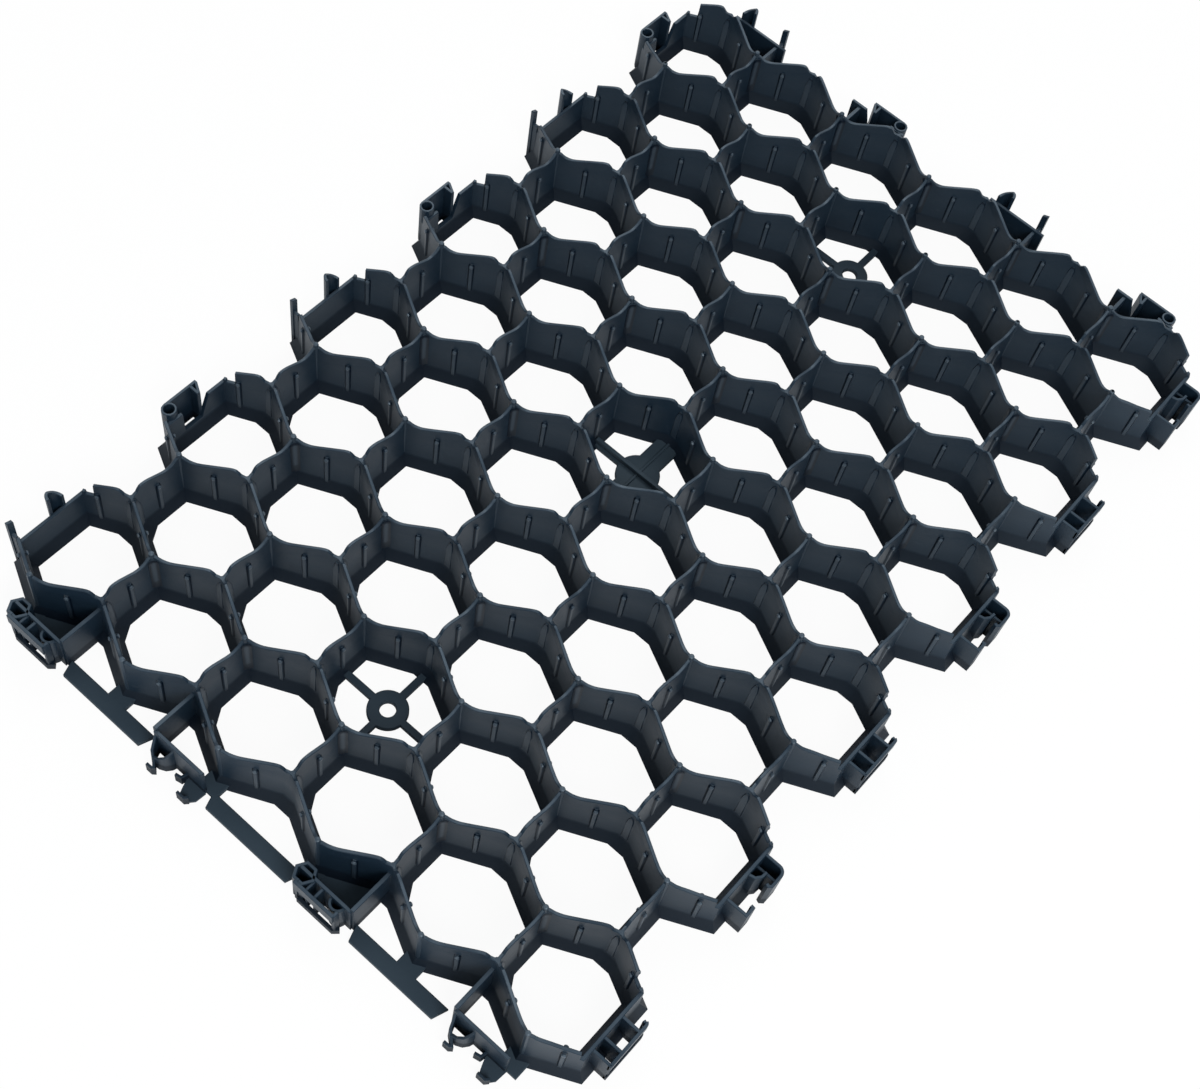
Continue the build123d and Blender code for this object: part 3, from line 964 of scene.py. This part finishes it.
strip_shape = bmesh.new()
strip_outside, strip_inside, strip_thick, strip_cut = -311 * mm, -302 * mm, 3 * mm, 3.2 * mm
land_outside, land_half = -304.6 * mm, 6.5 * mm
stops = []
for i, place in enumerate(clip_places):
    web, tip = clip_ends(place)
    past = math.copysign(1, web - tip)
    stops += [web + past * (6 if i % 2 else 0.6) * mm, tip - past * 3 * mm]
stops.sort()
for low, high in zip(stops[1::2], stops[2::2]):
    flat_plate(strip_shape, [
        (strip_inside, low),
        (strip_inside, high),
        (strip_outside, high - strip_cut),
        (strip_outside, low + strip_cut),
    ], strip_thick)
for y in row_cells(last_row):
    low, high = y - land_half, y + land_half
    land = [(-corner_x, low), (-corner_x, high), (land_outside, high), (land_outside, low)]
    flat_plate(strip_shape, land, strip_thick - 0.04 * mm)
for place in clip_places[0::2]:
    web, tip = clip_ends(place)
    sheet = [(west_plate_x, tip), (west_plate_x, web), (-valley_x, web), (-corner_x, tip)]
    if web > tip:
        sheet.reverse()
    flat_plate(strip_shape, sheet, 2.5 * mm, 0.3 * mm)
for place in clip_places[1::2]:
    tab = [(0.5, -18), (0.5, -5.6), (6, -7.6), (10.6, -9.6), (10.6, -14.4), (7, -17.4)]
    flat_plate(strip_shape, [(west_plate_x - n * mm, place + t * mm) for n, t in tab][::-1], strip_thick)
as_piece("edging_strip", strip_shape, flat_plastic)


# The clips.
# Four kinds of springy clip stand in turn along the edges and catch those of the next panel: blade and ear,
# tube and tooth, channel, and hooks. They are thin upright walls, moulded on the side walls and the plates.

def clip_object(name, paths):
    """A clip as thin walls, in mm, with x along its edge and y outward from the middle of what carries it.

    Each wall has its path, thickness, top and bottom, and whether it closes on itself.
    """
    shape = bmesh.new()
    for path, thick, top, bottom, closed in paths:
        points = [tuple(v * mm for v in p) for p in path]
        slat(shape, points, thick * mm, top * mm, bottom * mm, closed)
    return bpy.data.objects.new(name, as_mesh(name, shape))


def arc(x, y, radius, first, last, steps):
    """Points on an arc from one angle to another, in degrees."""
    angles = [math.radians(first + (last - first) * i / steps) for i in range(steps + 1)]
    return [(x + radius * math.cos(a), y + radius * math.sin(a)) for a in angles]


def sloped(path, keys):
    """The path with a top that follows the keys along it."""
    top = smooth_through(keys)
    return [(x, y, top(x)) for x, y in path]


ear = sloped(arc(5.5, 0.4, 4.4, 180, 0, 14), [(0, 41.3), (3.6, 41.3), (6, 39), (10.5, 35)])
blade_and_ear = clip_object("blade_and_ear", [
    ([(-23.5, 4.9, 41.2), (-19.6, 4.9, 39.6)], 2.0, 41, 0, False),
    ([(-21.9, 0.5), (-21.9, 4.6)], 2.0, 30, 0, False),
    (ear, 1.8, 41, 0, False),
])
tube_and_tooth = clip_object("tube_and_tooth", [
    (arc(-14.8, 4.2, 3.85, 0, 330, 11), 1.3, 31, 0, True),
    ([(-14.8, 7.85), (8.6, 7.85)], 1.8, 30.9, 0, False),
    ([(3.9, 0.6), (3.9, 7.6)], 1.8, 30.9, 0, False),
    ([(4.2, 0.6), (8.1, 7.4)], 1.6, 30.8, 0, False),
])


def channel_clip(name, reach):
    """An open channel between two rails, on three short walls, with a lip at one end."""
    outer = reach - 0.9
    walls = [([(t, 0.6), (t, outer)], 1.8, 24.9, 0, False) for t in (-15.1, -6.7, 6.9)]
    rail = [(-16.0, outer), (11.4, outer), *arc(11.4, outer - 1.6, 1.6, 90, 20, 4)[1:]]
    return clip_object(name, walls + [
        (rail, 1.8, 25, 18, False),
        (rail, 1.8, 5.5, 0, False),
        ([(12.2, outer - 1.2), (12.6, outer - 2.4)], 1.6, 25, 0, False),
        ([(-15.1, outer), (-14.9, outer - 0.2)], 1.8, 25, 0, False),
    ])


def hooks_clip(name, reach):
    """Two hooks that face each other, the second one stiffened behind its bend."""
    outer = reach - 0.9
    bend = arc(13.2, outer - 3.9, 3.9, 90, 0, 7)
    return clip_object(name, [
        ([(-15.1, 0.6), (-15.1, outer), (-9.6, outer), (-9.4, outer - 1.6)], 1.8, 25, 0, False),
        ([(5.2, outer - 3.0), (4.6, outer - 1.4), (5.8, outer), *bend, (17.1, 0.6)], 1.8, 25, 0, False),
        ([(2.6, 0.6), (3.4, 4.4), (6.2, 6.6), (10.0, 7.0)], 1.7, 24.9, 0, False),
        ([(10.6, 0.6), (10.6, outer - 0.4)], 1.7, 21, 0, False),
    ])


strip_channel = clip_object("strip_channel", [
    (arc(13.5, 1.4, 5.6, 0, 300, 5), 1.7, 26, 0, True),
    ([(14.6, 7.9), (-12.6, 7.9)], 2.0, 26.5, 18, False),
    ([(12.6, 7.9), (-11.6, 7.9), (-13.6, 6.0), (-9.6, 1.8)], 2.0, 5, 0, False),
    ([(-12.2, 8.0), (-12.2, 4.4)], 1.8, 26.3, 0, False),
    ([(13.9, 7.9), (13.9, 5.4)], 1.8, 26.3, 0, False),
    ([(1.5, 0.6), (1.5, 7.2)], 1.8, 25, 0, False),
    ([(7.2, 0.6), (7.2, 7.2)], 1.6, 25, 0, False),
    (arc(-8.6, 0.6, 4.2, -6, 186, 10), 1.6, 24, 0, False),
])
strip_hooks = clip_object("strip_hooks", [
    ([
        (17, -0.4, 25), (14.6, 6, 15), (11, 8.8, 9), (9.2, 10.4, 8.5), (10.2, 11.25, 8.5), (13.8, 11.25, 8),
    ], 1.5, 24, 0, False),
    ([(12.9, 7.2, 12), (9.6, 6.8, 13), (6.4, 5.2, 16), (4.4, 2.6, 20), (3.8, 0.7, 22)], 1.5, 24, 0, False),
    ([(-15.2, 9.4), (-13.6, 11.2), (-8.6, 11.2)], 1.5, 8, 0, False),
    ([(-5.4, 0.6), (-4.6, 4.4), (-1.0, 5.2)], 1.5, 8, 0, False),
])

first_rows, second_rows = (-5, -1, 3), notched_rows
quarter = math.pi / 2
north = {row: (row * row_pitch, side_wall_y, 0, 1) for row in first_rows + second_rows}
south = {row: (row * row_pitch, -side_wall_y, 0, -1) for row in first_rows + second_rows}
east = [(east_plate_x, y + blade_shift, quarter, -1) for y in clip_places]
west = [(west_plate_x, y, quarter, 1) for y in clip_places]
for name, clip, places in (
    ("blade_clips", blade_and_ear, [north[row] for row in first_rows] + east[0::2]),
    ("tube_clips", tube_and_tooth, [north[row] for row in second_rows] + east[1::2]),
    ("side_channel_clips", channel_clip("side_channel", 13.0), [south[row] for row in first_rows]),
    ("side_hook_clips", hooks_clip("side_hooks", 14.5), [south[row] for row in second_rows]),
    ("strip_channel_clips", strip_channel, west[0::2]),
    ("strip_hook_clips", strip_hooks, west[1::2]),
):
    shape = grown(name, places_mesh(name + "_places", places), places_tree, {
        "Shape": clip, "Plastic": panel_plastic,
    })
    as_piece(name, shape)


# The studio.
# A plain pale floor and soft lamps, with the camera where the photograph was taken from. The floor and the
# world look white to the camera alone, so the backdrop throws no more light on the panel.

photo_width, focal_pixels = 1200, 1879.285
camera_data = bpy.data.cameras.new("camera")
camera_data.sensor_width = 36
camera_data.lens = focal_pixels / photo_width * 36
camera_data.clip_start = 0.05
camera = bpy.data.objects.new("camera", camera_data)
camera.location = (-0.51169, -0.27239, 0.92945)
camera.rotation_euler = (0.505608, -0.116962, -0.853811)
bpy.context.collection.objects.link(camera)
bpy.context.scene.camera = camera

floor_paint = bpy.data.materials.new("floor_paint")
floor_paint.use_nodes = True
floor_paint.node_tree.nodes.clear()
paint = Nodes(floor_paint.node_tree)
lit = paint.add("ShaderNodeBsdfDiffuse", None, {"Color": (0.92, 0.92, 0.92, 1)})
white = paint.add("ShaderNodeEmission", None, {"Color": (1, 1, 1, 1), "Strength": 1.0})
seen = paint.figure("ShaderNodeLightPath")
blend = paint.add("ShaderNodeMixShader", None, {0: seen * 0.94, 1: lit.outputs[0], 2: white.outputs[0]})
paint.add("ShaderNodeOutputMaterial", None, {"Surface": blend.outputs[0]})
bpy.ops.mesh.primitive_plane_add(size=12, location=(0, 0, 0))
floor = bpy.context.object
floor.name = "floor"
floor.data.materials.append(floor_paint)

world = bpy.data.worlds.new("studio")
bpy.context.scene.world = world
world.use_nodes = True
world.node_tree.nodes.clear()
air = Nodes(world.node_tree)
glow = air.add("ShaderNodeBackground", None, {"Color": (0.95, 0.98, 1.0, 1), "Strength": 0.55})
backdrop = air.add("ShaderNodeBackground", None, {"Color": (1, 1, 1, 1), "Strength": 1.0})
seen = air.figure("ShaderNodeLightPath")
blend = air.add("ShaderNodeMixShader", None, {0: seen, 1: glow.outputs[0], 2: backdrop.outputs[0]})
air.add("ShaderNodeOutputWorld", None, {"Surface": blend.outputs[0]})

for name, place, size, power in (
    ("key_lamp", (-0.9, -1.3, 1.6), 0.9, 26),
    ("fill_lamp", (1.2, 0.9, 1.8), 1.4, 16),
):
    lamp_data = bpy.data.lights.new(name, "AREA")
    lamp_data.energy = power
    lamp_data.size = size
    lamp = bpy.data.objects.new(name, lamp_data)
    lamp.location = place
    lamp.rotation_euler = (-Vector(place)).to_track_quat("-Z", "Y").to_euler()
    bpy.context.collection.objects.link(lamp)

bpy.context.scene.view_settings.view_transform = "Standard"
